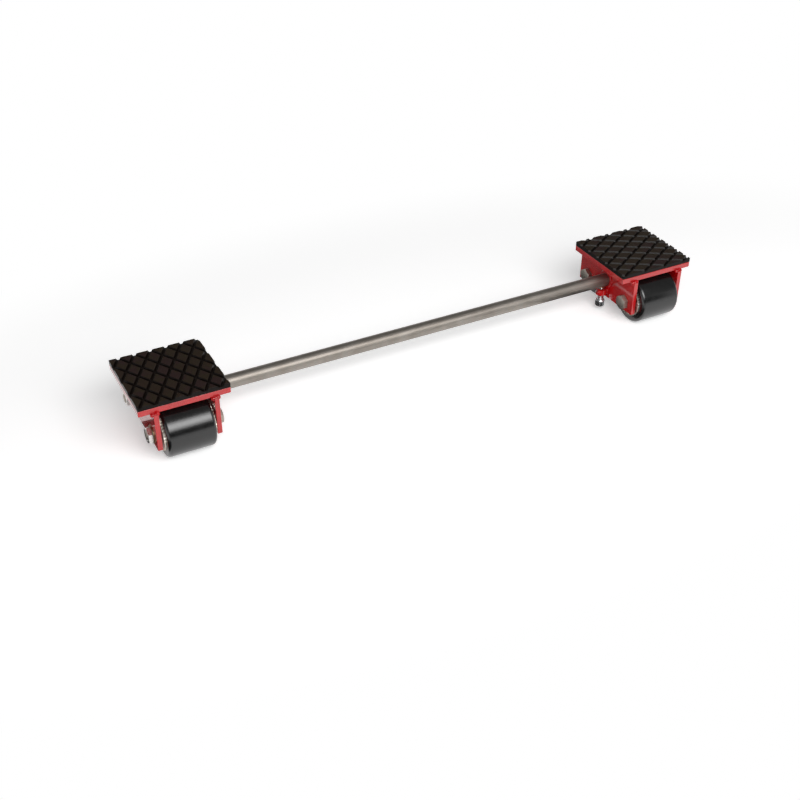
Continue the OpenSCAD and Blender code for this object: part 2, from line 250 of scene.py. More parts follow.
def pad_rubber(name):
    """Moulded rubber: dusty on the blocks, with painted shade down in the grooves and on the satin walls."""
    material, tree, shader, place = start_material(name)
    patches = add_node(tree, "ShaderNodeTexNoise", {"Vector": place, "Scale": 1 / PATCH_SIZE, "Detail": 2.0})
    tint = add_node(
        tree, "ShaderNodeValToRGB", {"Fac": patches},
        stops=[(0.38, "#24170D"), (0.62, "#251413"), (0.5, "#231A0B")],
    )
    dust = add_node(tree, "ShaderNodeTexNoise", {"Vector": place, "Scale": 1 / DUST_SIZE, "Detail": 6.0})
    cover = add_node(
        tree, "ShaderNodeMapRange", {"Value": dust, "From Min": 0.48, "From Max": 0.8, "To Max": 0.35}
    )
    dusty = add_node(tree, "ShaderNodeMix", {"Factor": cover, "A": tint, "B": "#40321F"}, data_type="RGBA")
    height = add_node(tree, "ShaderNodeSeparateXYZ", {"Vector": place}).outputs["Z"]
    # Painted shade: the colour darkens from the tops of the blocks down to the groove floors.
    clear_of_groove_shade = add_node(
        tree, "ShaderNodeMapRange",
        {"Value": height, "From Min": GROOVE_FLOOR + 1.0, "From Max": PAD_TOP - 1.0},
    )
    level = add_node(tree, "ShaderNodeMix", {"Factor": clear_of_groove_shade, "A": "#140B06", "B": dusty}, data_type="RGBA")
    facing = add_node(tree, "ShaderNodeNewGeometry").outputs["Normal"]
    slope = add_node(tree, "ShaderNodeSeparateXYZ", {"Vector": facing}).outputs["Z"]
    # Painted shade: steep walls get a nearly black colour, and the same mask makes them less rough.
    wall_shade_and_gloss = add_node(tree, "ShaderNodeMapRange", {"Value": slope, "From Min": 0.95, "From Max": 0.7})
    colour = add_node(
        tree, "ShaderNodeMix", {"Factor": wall_shade_and_gloss, "A": level, "B": "#0E0805"}, data_type="RGBA"
    )
    dull = add_node(tree, "ShaderNodeMapRange", {"Value": wall_shade_and_gloss, "To Min": 0.66, "To Max": 0.23})
    grain = add_node(tree, "ShaderNodeTexNoise", {"Vector": place, "Scale": 1 / RUBBER_GRAIN, "Detail": 2.0})
    bump = add_node(tree, "ShaderNodeBump", {"Height": grain, "Distance": 0.12 * MM, "Strength": 0.8})
    fill(tree, shader, {
        "Base Color": colour, "Roughness": dull, "Normal": bump, "IOR": 1.5, "Specular IOR Level": 0.14,
    })
    return material


finishes["pad_rubber"] = pad_rubber("moulded pad rubber")

# %% [markdown]
# ### Roller tread
# The treads are cast polyurethane, turned to size: deep black, smooth enough to mirror the lamps as soft
# bands. The lathe leaves faint rings. They vary along the roller's axis only, so the noise is stretched
# flat across the axis. Use leaves scuffs about 7 mm wide that are a little greyer and duller.

# %% Roller tread
RING_SIZE = 0.8
SCUFF_SIZE = 7


def turned_polyurethane(name):
    """Black polyurethane with the lathe's rings across its axis and a few grey scuffs."""
    material, tree, shader, place = start_material(name)
    across = add_node(tree, "ShaderNodeMapping", {"Vector": place, "Scale": (1.0, 0.02, 0.02)})
    rings = add_node(tree, "ShaderNodeTexNoise", {"Vector": across, "Scale": 1 / RING_SIZE, "Detail": 4.0})
    bump = add_node(tree, "ShaderNodeBump", {"Height": rings, "Distance": 0.006 * MM, "Strength": 0.5})
    scuffs = add_node(tree, "ShaderNodeTexNoise", {"Vector": place, "Scale": 1 / SCUFF_SIZE, "Detail": 5.0})
    dull = add_node(
        tree, "ShaderNodeMapRange",
        {"Value": scuffs, "From Min": 0.3, "From Max": 0.7, "To Min": 0.21, "To Max": 0.25},
    )
    worn = add_node(tree, "ShaderNodeMapRange", {"Value": scuffs, "From Min": 0.55, "From Max": 0.8})
    colour = add_node(
        tree, "ShaderNodeMix", {"Factor": worn, "A": "#0B0B0B", "B": "#131313"}, data_type="RGBA"
    )
    fill(tree, shader, {"Base Color": colour, "Roughness": dull, "Normal": bump, "IOR": 1.65})
    return material


finishes["tread"] = turned_polyurethane("turned polyurethane")

# %% [markdown]
# ### Drawn steel bar
# The bar is bright drawn mild steel. Pulling it through the die leaves streaks that run along it, metres
# long and a fraction of a millimetre wide, and storage leaves a warm grey film. The same noise, stretched
# sixty times along X, varies the colour, the roughness and the bump.

# %% Drawn steel
STREAK_SIZE = 0.9
STREAK_STRETCH = 60
FILM_SIZE = 30


def drawn_steel(name):
    """Steel with streaks drawn out along X under clouds of a grey film."""
    material, tree, shader, place = start_material(name)
    along = add_node(tree, "ShaderNodeMapping", {"Vector": place, "Scale": (1 / STREAK_STRETCH, 1.0, 1.0)})
    streaks = add_node(tree, "ShaderNodeTexNoise", {"Vector": along, "Scale": 1 / STREAK_SIZE, "Detail": 4.0})
    steel = add_node(
        tree, "ShaderNodeValToRGB", {"Fac": streaks}, stops=[(0.3, "#8F8880"), (0.7, "#A8A29B")]
    )
    film = add_node(tree, "ShaderNodeTexNoise", {"Vector": place, "Scale": 1 / FILM_SIZE, "Detail": 4.0})
    cover = add_node(
        tree, "ShaderNodeMapRange", {"Value": film, "From Min": 0.4, "From Max": 0.75, "To Max": 0.5}
    )
    colour = add_node(tree, "ShaderNodeMix", {"Factor": cover, "A": steel, "B": "#7B736A"}, data_type="RGBA")
    dull = add_node(
        tree, "ShaderNodeMapRange",
        {"Value": streaks, "From Min": 0.3, "From Max": 0.7, "To Min": 0.44, "To Max": 0.56},
    )
    bump = add_node(tree, "ShaderNodeBump", {"Height": streaks, "Distance": 0.02 * MM, "Strength": 0.7})
    fill(tree, shader, {"Base Color": colour, "Roughness": dull, "Normal": bump, "Metallic": 1.0})
    return material


finishes["bar_steel"] = drawn_steel("drawn steel")

# %% [markdown]
# ### Plated and turned metals
# Bolts, nuts, washers, covers and the clamp screw are zinc plated, some dull, some bright, some with a
# yellow passivation. The bearings, tubes and cores are bare and turned. They share one recipe: two metal
# colours mixed by a noise of the plating's crystal size, a range of roughness, and a shallow bump. The
# rougher ones spread the light into a soft grey, and the smoother ones show it in sharp streaks.

# %% Metal recipe
def metal(name, light, dark, grain, smoothest, roughest):
    """A metal in two colours, with grains of the given size in mm and a range of roughness."""
    material, tree, shader, place = start_material(name)
    grains = add_node(tree, "ShaderNodeTexNoise", {"Vector": place, "Scale": 1 / grain, "Detail": 4.0})
    colour = add_node(tree, "ShaderNodeValToRGB", {"Fac": grains}, stops=[(0.35, dark), (0.62, light)])
    dull = add_node(
        tree, "ShaderNodeMapRange",
        {"Value": grains, "From Min": 0.35, "From Max": 0.65, "To Min": smoothest, "To Max": roughest},
    )
    bump = add_node(tree, "ShaderNodeBump", {"Height": grains, "Distance": 0.01 * MM, "Strength": 0.6})
    fill(tree, shader, {"Base Color": colour, "Roughness": dull, "Normal": bump, "Metallic": 1.0})
    return material


METALS = {
    "bolt_steel": ("dull zinc plating", "#BDB5AB", "#9C958C", 1.6, 0.42, 0.55),
    "nut_zinc": ("bright zinc plating", "#F4F3F0", "#DCD9D3", 2.0, 0.27, 0.38),
    "washer_steel": ("yellowed zinc plating", "#A8977A", "#7C6B52", 2.4, 0.34, 0.48),
    "cover_zinc": ("pressed zinc plated sheet", "#F8F3EA", "#B8AA98", 4.5, 0.32, 0.5),
    "clamp_screw_zinc": ("polished zinc plating", "#E8EAEC", "#CFD2D5", 3.0, 0.13, 0.2),
    "core_iron": ("turned grey iron", "#77777A", "#5E5E60", 1.2, 0.4, 0.55),
    "bearing_steel": ("ground bearing steel", "#C4C6C9", "#ABADB0", 0.8, 0.16, 0.24),
    "tube_steel": ("turned steel tube", "#A5A6A7", "#8B8C8E", 0.8, 0.3, 0.4),
    "brass": ("turned brass", "#C9A35A", "#AD8845", 0.9, 0.26, 0.36),
}
for slot, recipe in METALS.items():
    finishes[slot] = metal(*recipe)

for node, made in frame["nodes"].items():
    for holder in made.material_slots:
        holder.material = finishes[slot_of[node]]
print("finishes:", len(finishes))

# %% [markdown]
# ## The studio
# The dolly stands on a white sweep. Near it the floor is a plain white matt surface, which keeps the soft
# shadow. Further out the lamps grow weaker, so a light of strength 1 takes over, seen by the camera and
# by mirrors and glass only. The near part is an ellipse round the dolly, and the change to the far part
# is gradual.

# %% White floor
FLOOR_REACH = 40.0
NEAR_HALF = (0.68, 0.34)
FAR_HALF = 1.3
PAPER_GLOW = 0.36

floor_mesh = bpy.data.meshes.new("floor")
corners = [(x * FLOOR_REACH, y * FLOOR_REACH, 0) for x, y in ((-1, -1), (1, -1), (1, 1), (-1, 1))]
floor_mesh.from_pydata(corners, [], [(0, 1, 2, 3)])
floor = put_in_scene("floor", floor_mesh)

white_sweep = bpy.data.materials.new("white sweep")
floor_mesh.materials.append(white_sweep)
tree = clear_tree(white_sweep)
paper = add_node(tree, "ShaderNodeBsdfDiffuse", {"Color": "#FAFAFA"})
glow = add_node(tree, "ShaderNodeEmission", {"Strength": PAPER_GLOW})
lit_paper = add_node(tree, "ShaderNodeAddShader", {0: paper, 1: glow})
white = add_node(tree, "ShaderNodeEmission", {"Strength": 1.0})
place = add_node(tree, "ShaderNodeTexCoord").outputs["Object"]
ellipse = add_node(
    tree, "ShaderNodeMapping", {"Vector": place, "Scale": (1 / NEAR_HALF[0], 1 / NEAR_HALF[1], 0.0)}
)
distance = add_node(tree, "ShaderNodeVectorMath", {"Vector": ellipse}, operation="LENGTH")
far = add_node(
    tree, "ShaderNodeMapRange", {"Value": distance, "From Min": 1.0, "From Max": FAR_HALF / NEAR_HALF[0]},
    interpolation_type="SMOOTHSTEP",
)
seen_paper = add_node(tree, "ShaderNodeMixShader", {0: far, 1: lit_paper, 2: white})
ray = add_node(tree, "ShaderNodeLightPath").outputs
seen = add_node(
    tree, "ShaderNodeMath", {0: ray["Is Camera Ray"], 1: ray["Is Glossy Ray"]}, operation="MAXIMUM"
)
seen = add_node(tree, "ShaderNodeMath", {0: seen, 1: ray["Is Transmission Ray"]}, operation="MAXIMUM")
surface = add_node(tree, "ShaderNodeMixShader", {0: seen, 1: paper, 2: seen_paper})
add_node(tree, "ShaderNodeOutputMaterial", {"Surface": surface})
print("floor nodes:", len(tree.nodes))

# %% [markdown]
# The sky is white at the horizon and darker overhead, as in a studio with white walls.

# %% Sky
SKY_TOP = 0.18
SKY_HORIZON = 1.0
SKY_LOW = math.sin(math.radians(7))
SKY_HIGH = math.sin(math.radians(28))

scene.world = bpy.data.worlds.new("studio walls")
tree = clear_tree(scene.world)
direction = add_node(tree, "ShaderNodeTexCoord").outputs["Generated"]
height = add_node(tree, "ShaderNodeSeparateXYZ", {"Vector": direction}).outputs["Z"]
level = add_node(
    tree, "ShaderNodeMapRange",
    {"Value": height, "From Min": SKY_LOW, "From Max": SKY_HIGH, "To Min": SKY_HORIZON, "To Max": SKY_TOP},
    interpolation_type="SMOOTHSTEP",
)
sky = add_node(tree, "ShaderNodeBackground", {"Color": "#FFFFFF", "Strength": level})
add_node(tree, "ShaderNodeOutputWorld", {"Surface": sky})
print("sky strength:", SKY_HORIZON, "at the horizon,", SKY_TOP, "overhead")

# %% [markdown]
# ### The lamps
# The rollers mirror the studio, and so tell where its lamp stood: one wide soft box in front, 42 degrees
# up, brighter in its middle. Its power follows from its area and from how bright it has to look.

# %% Soft box
LAMP_RADIANCE = 3.4


def soft_box(name, place, width, height):
    """A rectangular lamp that looks at the dolly."""
    lamp = bpy.data.lights.new(name, "AREA")
    lamp.shape = "RECTANGLE"
    lamp.size, lamp.size_y = width, height
    lamp.energy = math.pi * width * height * LAMP_RADIANCE
    aim = Vector((0, 0, 0)) - Vector(place)
    turned = aim.to_track_quat("-Z", "Y").to_matrix().to_4x4()
    put_in_scene(name, lamp).matrix_world = Matrix.Translation(place) @ turned
    print(name, "watts:", round(lamp.energy, 1))


soft_box("front soft box", (0.0, -1.75, 1.6), 2.3, 1.5)
soft_box("front lamp core", (0.0, -1.7, 1.56), 1.5, 0.7)

# %% [markdown]
# Below the soft box the rollers mirror a dark band, the room behind the camera, and a black card stands
# for that, as photographers use such cards to draw the edge of a glossy thing. The enamelled plates
# mirror the floor beside them, and that floor lies in shade: the plates are a deep red, with a pale
# stripe where bright floor begins. The floor cards beside the carriages are painted shade: dark and grey
# sheets for that shadow, which only mirrors see. The camera doesn't see the cards, and a card fades out
# along X where its edge would draw a hard line in the bar.

# %% Dark cards
CARD_LEVEL = 0.0005
FADE = (0.18, 0.26)


def mirror_card(name, grey, rectangles, fade=None):
    """Matt cards that only mirrors see, each between two opposite corners, faded in between two x."""
    corners = []
    for low, high in rectangles:
        corners += [low, (high[0], low[1], low[2]), high, (low[0], high[1], high[2])]
    mesh = bpy.data.meshes.new(name)
    mesh.from_pydata(corners, [], [tuple(range(first, first + 4)) for first in range(0, len(corners), 4)])
    card = put_in_scene(name, mesh)
    card.visible_camera = False
    card.visible_shadow = False
    card.visible_diffuse = False
    finish, tree, shader, place = start_material(name)
    fill(tree, shader, {"Base Color": grey, "Roughness": 0.9})
    mesh.materials.append(finish)
    if fade:
        along = add_node(tree, "ShaderNodeSeparateXYZ", {"Vector": place}).outputs["X"]
        there = add_node(
            tree, "ShaderNodeMapRange",
            {"Value": along, "From Min": fade[0] / MM, "From Max": fade[1] / MM},
            interpolation_type="SMOOTHSTEP",
        )
        clear = add_node(tree, "ShaderNodeBsdfTransparent")
        soft = add_node(tree, "ShaderNodeMixShader", {0: there, 1: clear, 2: shader})
        fill(tree, tree.nodes["Material Output"], {"Surface": soft})


def on_floor(*rectangles):
    """Rectangles given as (x, y, x, y) in metres, laid just above the floor."""
    return [((x, y, CARD_LEVEL), (x_end, y_end, CARD_LEVEL)) for x, y, x_end, y_end in rectangles]


mirror_card("dark room card", "#101010", [((-1.7, -1.9, 0.01), (1.9, -1.9, 0.8))])
# Painted shade: the floor cards stand for the shadow on the floor beside each carriage, seen only in mirrors.
mirror_card("left painted floor shade", "#161616", on_floor((-0.62, -0.25, -0.51, 0.041)))
mirror_card("right painted floor shade", "#383838", on_floor(
    (0.326, -0.2, 0.396, 0.12), (0.285, -0.2, 0.319, 0.064),
    (0.18, 0.064, 0.309, 0.12), (0.309, 0.084, 0.326, 0.12),
), FADE)
mirror_card("right rear painted floor shade", "#7C7C7C", on_floor((0.18, 0.12, 0.396, 0.35)), FADE)

# %% [markdown]
# ## Turning, milling and growing shapes
# Most small pieces here are turned on a lathe, so one helper turns an outline round the X axis. It takes
# the outline in mm as (x, radius) points. A solid piece starts and ends on the axis, and a bored one
# closes on itself. Normals are recalculated at the end, so that they all point outwards.

# %% Turn an outline on the lathe
def lathe(outline, segments=96):
    """A mesh turned round X from an outline of (x, radius) points in mm."""
    shape = bmesh.new()
    turns = [2 * math.pi * step / segments for step in range(segments)]
    rings = []
    for x, radius in outline:
        if radius == 0:
            rings.append([shape.verts.new((x * MM, 0, 0))] * segments)
        else:
            spots = [(x * MM, radius * MM * math.cos(turn), radius * MM * math.sin(turn)) for turn in turns]
            rings.append([shape.verts.new(spot) for spot in spots])
    pairs = list(zip(rings, rings[1:]))
    if outline[0][1] > 0:
        pairs.append((rings[-1], rings[0]))
    for near, far in pairs:
        for step in range(segments):
            after = (step + 1) % segments
            shape.faces.new(dict.fromkeys((near[step], near[after], far[after], far[step])))
    bmesh.ops.recalc_face_normals(shape, faces=shape.faces)
    mesh = bpy.data.meshes.new("turned")
    shape.to_mesh(mesh)
    shape.free()
    return mesh


def turned_ring(start, end, bore, outer):
    """A plain ring, such as a washer, from one x to another."""
    return lathe([(start, bore), (end, bore), (end, outer), (start, outer)])


def arc(x, radius, size, start, end, steps=10):
    """Points of an outline's rounding about (x, radius), from one angle to another in degrees."""
    angles = [math.radians(start + (end - start) * step / steps) for step in range(steps + 1)]
    return [(x + size * math.cos(angle), radius + size * math.sin(angle)) for angle in angles]


# %% [markdown]
# A shape that repeats or follows a path is grown by Geometry Nodes. Each tree gets named inputs for its
# sizes and a material, and ends in Realize Instances and Set Material, so that no loose instances are
# left. To use a tree, a modifier runs it once on a base mesh, and the result is kept as a plain mesh.

# %% Grow a shape with Geometry Nodes
def start_tree(name, sizes):
    """A Geometry Nodes tree with named inputs, and the sockets that give them."""
    tree = bpy.data.node_groups.new(name, "GeometryNodeTree")
    for label, kind in {"Geometry": "Geometry", **sizes, "Material": "Material"}.items():
        tree.interface.new_socket(label, in_out="INPUT", socket_type="NodeSocket" + kind)
    tree.interface.new_socket("Geometry", in_out="OUTPUT", socket_type="NodeSocketGeometry")
    return tree, add_node(tree, "NodeGroupInput").outputs


def end_tree(tree, given, geometry):
    """Ends a tree: instances are made real, and the whole gets the given material."""
    whole = add_node(tree, "GeometryNodeRealizeInstances", {"Geometry": geometry})
    painted = add_node(tree, "GeometryNodeSetMaterial", {"Geometry": whole, "Material": given["Material"]})
    add_node(tree, "NodeGroupOutput", {"Geometry": painted})
    print("tree:", tree.name, "nodes:", len(tree.nodes))
    return tree


def grow(tree, slot, values, base=None):
    """Runs a tree on a base mesh and keeps the result as a plain mesh."""
    made = put_in_scene(tree.name, base or bpy.data.meshes.new(tree.name))
    modifier = made.modifiers.new(tree.name, "NODES")
    modifier.node_group = tree
    values = {**values, "Material": finishes[slot]}
    for item in tree.interface.items_tree:
        if item.in_out == "INPUT" and item.name in values:
            modifier[item.identifier] = values[item.name]
    evaluated = made.evaluated_get(bpy.context.evaluated_depsgraph_get())
    mesh = bpy.data.meshes.new_from_object(evaluated)
    made.modifiers.remove(modifier)
    bpy.data.objects.remove(made)
    return mesh


# %% [markdown]
# Two more helpers finish a piece. One copies a node's own mesh, merges its loose triangles and dissolves
# the lines between flat ones, so that a bevel can run along its real edges. The other joins the meshes of
# a piece, gives it its finish, lets it ride on its body and stand for its nodes. A live Bevel rounds the
# edges, because no edge of a real piece is sharp, and the light that runs along it tells the eye how
# thick and how hard it is.

# %% Copy a node and dress a body
SHARP_ANGLE = math.radians(32)
FLAT_ANGLE = math.radians(0.3)
MERGE_DISTANCE = 0.0005 * MM


def close_copy(node):
    """A copy of a node's mesh with its triangles joined into whole faces."""
    shape = bmesh.new()
    shape.from_mesh(frame["nodes"][node].data)
    bmesh.ops.remove_doubles(shape, verts=shape.verts, dist=MERGE_DISTANCE)
    bmesh.ops.dissolve_limit(
        shape, angle_limit=FLAT_ANGLE, verts=shape.verts, edges=shape.edges, use_dissolve_boundaries=False
    )
    mesh = bpy.data.meshes.new(node + "_copy")
    shape.to_mesh(mesh)
    shape.free()
    return mesh


def dress(name, meshes, nodes, bevel=0.0, segments=2):
    """Joins placed meshes into one piece that stands for its nodes, with edges rounded by a bevel in mm."""
    shape = bmesh.new()
    for mesh, matrix in meshes:
        part = mesh.copy()
        part.transform(matrix)
        shape.from_mesh(part)
        bpy.data.meshes.remove(part)
    joined = bpy.data.meshes.new(name)
    shape.to_mesh(joined)
    shape.free()
    joined.materials.clear()
    joined.materials.append(finishes[slot_of[nodes[0]]])
    for face in joined.polygons:
        face.material_index = 0
    joined.shade_smooth()
    joined.set_sharp_from_angle(angle=SHARP_ANGLE)
    piece = put_in_scene(name, joined)
    if bevel:
        rounding = piece.modifiers.new("rounded edges", "BEVEL")
        rounding.width = bevel * MM
        rounding.segments = segments
        rounding.limit_method = "ANGLE"
        rounding.angle_limit = SHARP_ANGLE
        rounding.harden_normals = True
    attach(piece, body_of[nodes[0]])
    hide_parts(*nodes)
    print(name, "faces:", len(joined.polygons))
    return piece


# %% [markdown]
# The left carriage is the right one turned half round, so its small pieces are made once, about the
# origin, and then turned and moved to their nodes.

# %% Place shapes on the carriages
home = Matrix.Identity(4)


def shift(x=0, z=0):
    """A move along X and Z in mm."""
    return Matrix.Translation((x * MM, 0, z * MM))


def turned_half(side):
    """The half turn of the left carriage."""
    return Matrix.Rotation(math.pi if side == "left" else 0, 4, "Z")


def on_node(node, side, centred=False):
    """The place of a shape on the middle of a node, or level with it in the middle of its carriage."""
    middle = middle_and_size(node)[0]
    if centred:
        middle.x = middle_and_size(side + "_top_plate")[0].x
    return Matrix.Translation(middle) @ turned_half(side)


# %% [markdown]
# ## The guide bar
# The bar is one turned length, 24 mm thick, with a 1.5 mm bevel at each end. The node is a prism of 64
# sides, which shows as flats in a highlight, so a finer one takes its place. Rings every 50 mm keep the
# long faces even.

# %% Guide bar
BAR_BEVEL = 1.5
RING_STEP = 50
RINGS_EACH_WAY = 9

bar_half = bar_size.x / 2 / MM
bar_radius = bar_size.z / 2 / MM
bar_outline = [
    (-bar_half, 0), (-bar_half, bar_radius - BAR_BEVEL), (-bar_half + BAR_BEVEL, bar_radius),
    *[(RING_STEP * number, bar_radius) for number in range(-RINGS_EACH_WAY, RINGS_EACH_WAY + 1)],
    (bar_half - BAR_BEVEL, bar_radius), (bar_half, bar_radius - BAR_BEVEL), (bar_half, 0),
]
dress("round_bar", [(lathe(bar_outline, 144), Matrix.Translation(bar_middle))], ["guide_bar"], bevel=0.3)

# %% [markdown]
# ## The rubber pads
# Each pad is moulded in one piece: raised diamond blocks between two crossing families of grooves. The
# blocks' centres lie on two lattices, shifted by half a step from each other, so Geometry Nodes make the
# points of two grids with the same middle. Blocks that would leave only a sliver inside the pad's edge
# are left out.

# %% Pad tree, the lattice
GROOVE_TOP = 6.0
GROOVE_BOTTOM = 2.2
STEP_SHORT = 26.4
STEP_LONG = 43.5
GRID_COUNTS = ((15, 9), (14, 10))
TIP_SHARE = 0.41

tree, given = start_tree("grooved pad", {
    "Step": "Vector", "Top Share": "Float", "Foot Share": "Float", "Block Tall": "Float",
    "Groove Depth": "Float", "Pad Size": "Vector", "Least Width": "Float", "Shift": "Vector", "Turn": "Float",
})
step = add_node(tree, "ShaderNodeSeparateXYZ", {"Vector": given["Step"]}).outputs
pad = add_node(tree, "ShaderNodeSeparateXYZ", {"Vector": given["Pad Size"]}).outputs
grids = []
for counts in GRID_COUNTS:
    across, along = [
        add_node(tree, "ShaderNodeMath", {0: step[axis], 1: float(count - 1)}, operation="MULTIPLY")
        for axis, count in enumerate(counts)
    ]
    grids.append(add_node(
        tree, "GeometryNodeMeshGrid",
        {"Size X": across, "Size Y": along, "Vertices X": counts[0], "Vertices Y": counts[1]},
    ))
lattice = add_node(tree, "GeometryNodeJoinGeometry", {"Geometry": grids})
moved = add_node(tree, "GeometryNodeTransform", {"Geometry": lattice, "Translation": given["Shift"]})
spot = add_node(tree, "GeometryNodeInputPosition")
away = add_node(tree, "ShaderNodeVectorMath", {"Vector": spot}, operation="ABSOLUTE")
tip = add_node(
    tree, "ShaderNodeVectorMath",
    {"Vector": given["Step"], "Vector_001": (-TIP_SHARE, -TIP_SHARE, 0.0), "Vector_002": away},
    operation="MULTIPLY_ADD",
)
tip_axes = add_node(tree, "ShaderNodeSeparateXYZ", {"Vector": tip}).outputs
farthest = add_node(tree, "ShaderNodeMath", {0: tip_axes["X"], 1: tip_axes["Y"]}, operation="MAXIMUM")
limit = add_node(
    tree, "ShaderNodeMath", {0: pad["X"], 1: 0.5, 2: given["Least Width"]}, operation="MULTIPLY_ADD"
)
too_far = add_node(tree, "FunctionNodeCompare", {"A": farthest, "B": limit}, operation="GREATER_THAN")
kept = add_node(
    tree, "GeometryNodeDeleteGeometry", {"Geometry": moved, "Selection": too_far}, domain="POINT"
)
print("points of the two grids:", [across * along for across, along in GRID_COUNTS])

# %% [markdown]
# A block is a cone of four sides, stretched to a diamond, because a mould needs sloping walls to let go.
# One stands on every point. The same mat was laid the other way on the right carriage, so its pattern is
# turned by 90 degrees.

# %% Pad tree, the blocks
diamond = add_node(
    tree, "GeometryNodeMeshCone",
    {"Vertices": 4, "Radius Top": given["Top Share"], "Radius Bottom": given["Foot Share"], "Depth": 1.0},
)
half_step = add_node(tree, "ShaderNodeVectorMath", {"Vector": given["Step"], "Scale": 0.5}, operation="SCALE")
half_axes = add_node(tree, "ShaderNodeSeparateXYZ", {"Vector": half_step}).outputs
stretch = add_node(
    tree, "ShaderNodeCombineXYZ", {"X": half_axes["X"], "Y": half_axes["Y"], "Z": given["Block Tall"]}
)
block = add_node(tree, "GeometryNodeTransform", {"Geometry": diamond, "Scale": stretch})
placed = add_node(tree, "GeometryNodeInstanceOnPoints", {"Points": kept, "Instance": block})
turn = add_node(tree, "ShaderNodeCombineXYZ", {"Z": given["Turn"]})
drop = add_node(tree, "ShaderNodeMath", {0: given["Block Tall"], 1: -1.0}, operation="MULTIPLY")
lowered = add_node(tree, "ShaderNodeCombineXYZ", {"Z": drop})
pattern = add_node(
    tree, "GeometryNodeTransform", {"Geometry": placed, "Rotation": turn, "Translation": lowered}
)
blocks = add_node(tree, "GeometryNodeRealizeInstances", {"Geometry": pattern})
print("nodes so far:", len(tree.nodes))

# %% [markdown]
# A Boolean joins the blocks with the slab below, and another cuts the mat to the square of the pad, as
# the knife did. The slab is wider than the pad and the knife's box is taller, so that no two faces fall
# together.

# %% Pad tree, the slab and the knife
SLAB_WIDER = 1.5
KNIFE_TALLER = 4.0

slab_tall = add_node(tree, "ShaderNodeMath", {0: pad["Z"], 1: given["Groove Depth"]}, operation="SUBTRACT")
slab_wide = add_node(tree, "ShaderNodeMath", {0: pad["X"], 1: SLAB_WIDER}, operation="MULTIPLY")
slab_size = add_node(tree, "ShaderNodeCombineXYZ", {"X": slab_wide, "Y": slab_wide, "Z": slab_tall})
half_sum = add_node(tree, "ShaderNodeMath", {0: pad["Z"], 1: given["Groove Depth"]}, operation="ADD")
slab_drop = add_node(tree, "ShaderNodeMath", {0: half_sum, 1: -0.5}, operation="MULTIPLY")
slab_place = add_node(tree, "ShaderNodeCombineXYZ", {"Z": slab_drop})
slab = add_node(tree, "GeometryNodeMeshCube", {"Size": slab_size})
slab_low = add_node(tree, "GeometryNodeTransform", {"Geometry": slab, "Translation": slab_place})
mat = add_node(
    tree, "GeometryNodeMeshBoolean", {"Mesh 2": [blocks, slab_low]}, operation="UNION", solver="EXACT"
)
knife_tall = add_node(tree, "ShaderNodeMath", {0: pad["Z"], 1: KNIFE_TALLER}, operation="MULTIPLY")
knife_size = add_node(tree, "ShaderNodeCombineXYZ", {"X": pad["X"], "Y": pad["Y"], "Z": knife_tall})
knife = add_node(tree, "GeometryNodeMeshCube", {"Size": knife_size})
cut = add_node(
    tree, "GeometryNodeMeshBoolean", {"Mesh 2": [mat, knife]}, operation="INTERSECT", solver="EXACT"
)
pad_tree = end_tree(tree, given, cut)

# %% [markdown]
# Each block is the lattice's cell, made smaller about its centre until its sides have moved in by half a
# groove: more at the top, less at the foot. The foot is sunk a little into the slab, so that the Boolean
# finds a clear crossing.

# %% Both pads
SUNK = 1.0
SLIVER = 1.5
PAD_LAYS = (("left", (6.7, 8.7), 0), ("right", (17.2, 5.3), 90))

to_side = STEP_SHORT * STEP_LONG / 2 / math.hypot(STEP_SHORT, STEP_LONG)
wall_slope = (GROOVE_TOP - GROOVE_BOTTOM) / 2 / GROOVE_DEPTH
top_share = 1 - GROOVE_TOP / 2 / to_side
foot_share = 1 - (GROOVE_BOTTOM / 2 - wall_slope * SUNK) / to_side
print("block diagonals at the top in mm:", round(STEP_SHORT * top_share, 1), round(STEP_LONG * top_share, 1))

for side, phase, angle in PAD_LAYS:
    middle, size = middle_and_size(side + "_rubber_pad")
    grooved = grow(pad_tree, "pad_rubber", {
        "Step": (STEP_SHORT * MM, STEP_LONG * MM, 0.0), "Top Share": top_share, "Foot Share": foot_share,
        "Block Tall": (GROOVE_DEPTH + SUNK) * MM, "Groove Depth": GROOVE_DEPTH * MM, "Pad Size": tuple(size),
        "Least Width": -SLIVER * MM, "Shift": ((phase[0] - STEP_SHORT / 2) * MM, phase[1] * MM, 0.0),
        "Turn": math.radians(angle),
    })
    top = Matrix.Translation(middle + Vector((0, 0, size.z / 2)))
    dress(side + "_grooved_pad", [(grooved, top)], [side + "_rubber_pad"], bevel=0.45, segments=3)

# %% [markdown]
# ## Plates and sleeves
# The plates are flame cut from 8 and 10 mm steel, and the enamel runs round their edges in a small soft
# curve. Their shapes are right as they are, so close copies of the nodes only need rounded edges. The
# guide sleeve is a turned tube that is welded into both side plates.

# %% Plates and sleeves
PLATES = ("top_plate", "inner_side_plate", "outer_side_plate")
PLATE_EDGE = 0.8
SLEEVE_EDGE = 0.5
SLEEVE_BORE = 12.08

for side in SIDES:
    for plate in PLATES:
        node = side + "_" + plate
        dress(node + "_enamelled", [(close_copy(node), home)], [node], bevel=PLATE_EDGE, segments=3)
    node = side + "_guide_sleeve"
    middle, size = middle_and_size(node)
    half = size.x / 2 / MM
    tube = turned_ring(-half, half, SLEEVE_BORE, size.z / 2 / MM)
    dress(node + "_turned", [(tube, Matrix.Translation(middle))], [node], bevel=SLEEVE_EDGE)

# %% [markdown]
# ## Weld beads
# A weld is a row of overlapping drops of molten steel. Geometry Nodes lay drops along a path, each a
# little different in size, and melt them together: Mesh to Volume fills them with voxels, and Volume to
# Mesh wraps a skin round the whole.

# %% Weld bead tree
DROP_LEAST = (0.74, 0.74, 0.7)
DROP_MOST = (1.05, 1.05, 1.0)
FILLED_BAND = 2.0
SKIN_LEVEL = 0.1

